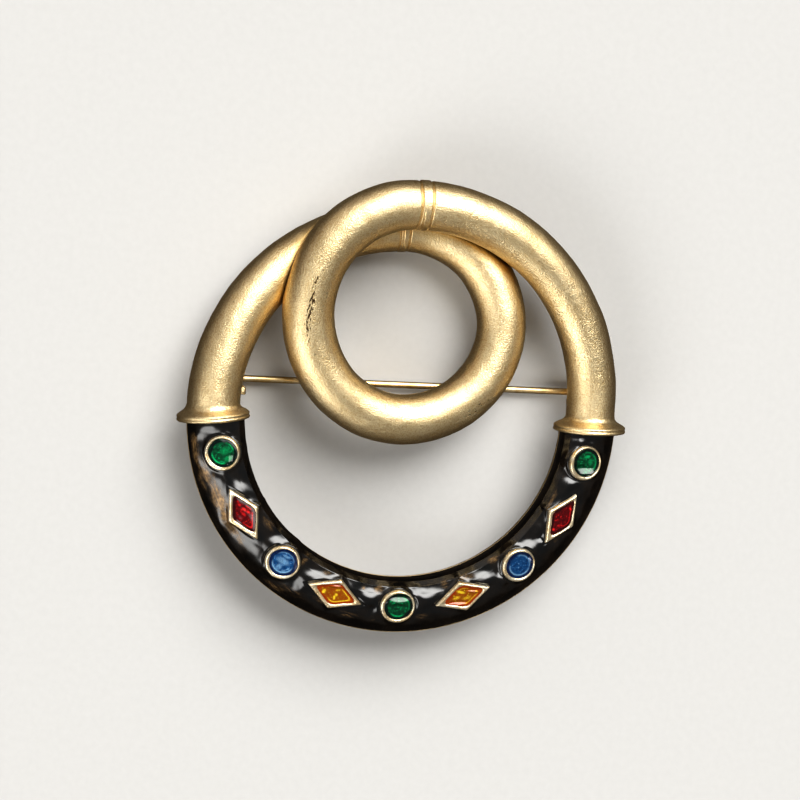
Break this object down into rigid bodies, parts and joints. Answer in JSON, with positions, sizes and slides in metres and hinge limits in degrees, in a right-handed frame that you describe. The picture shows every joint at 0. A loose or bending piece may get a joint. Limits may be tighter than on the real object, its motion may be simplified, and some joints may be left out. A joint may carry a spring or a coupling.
{
  "type": "enamel brooch",
  "caption": "Round scroll brooch: a gold-coloured tube curls inside a ring whose lower half is black enamel set with coloured enamel, with a hinged pin at the back.",
  "frame": {"origin": "middle of the brooch's outline, on the surface it lies on", "axes": "+Z out of the face, +Y towards the banded top of the scroll, +X to the right seen from the face"},
  "size_m": [0.0504, 0.0506, 0.0101],
  "materials": {
    "gold_metal": "satin gold plate, worn",
    "bezel_metal": "polished gold plate",
    "pin_metal": "polished wire",
    "black_enamel": "glossy",
    "green_enamel": "glossy",
    "red_enamel": "glossy",
    "blue_enamel": "glossy",
    "amber_enamel": "glossy"
  },
  "bodies": {
    "brooch": {"scroll_tube": "gold_metal", "arc_frame": "bezel_metal", "black_enamel": "black_enamel", "green_enamel_1": "green_enamel", "green_enamel_2": "green_enamel", "green_enamel_3": "green_enamel", "red_enamel_1": "red_enamel", "red_enamel_2": "red_enamel", "blue_enamel_1": "blue_enamel", "blue_enamel_2": "blue_enamel", "amber_enamel_1": "amber_enamel", "amber_enamel_2": "amber_enamel", "hinge_rivet": "pin_metal"},
    "pin": {"pin_stem": "pin_metal"}
  },
  "joints": [
    {"name": "pin_swing", "type": "hinge", "parent": "brooch", "child": "pin", "pos_m": [0.0205, 0.00186, 0.001], "axis": [0, -1, 0], "range_deg": [0, 100]}
  ]
}
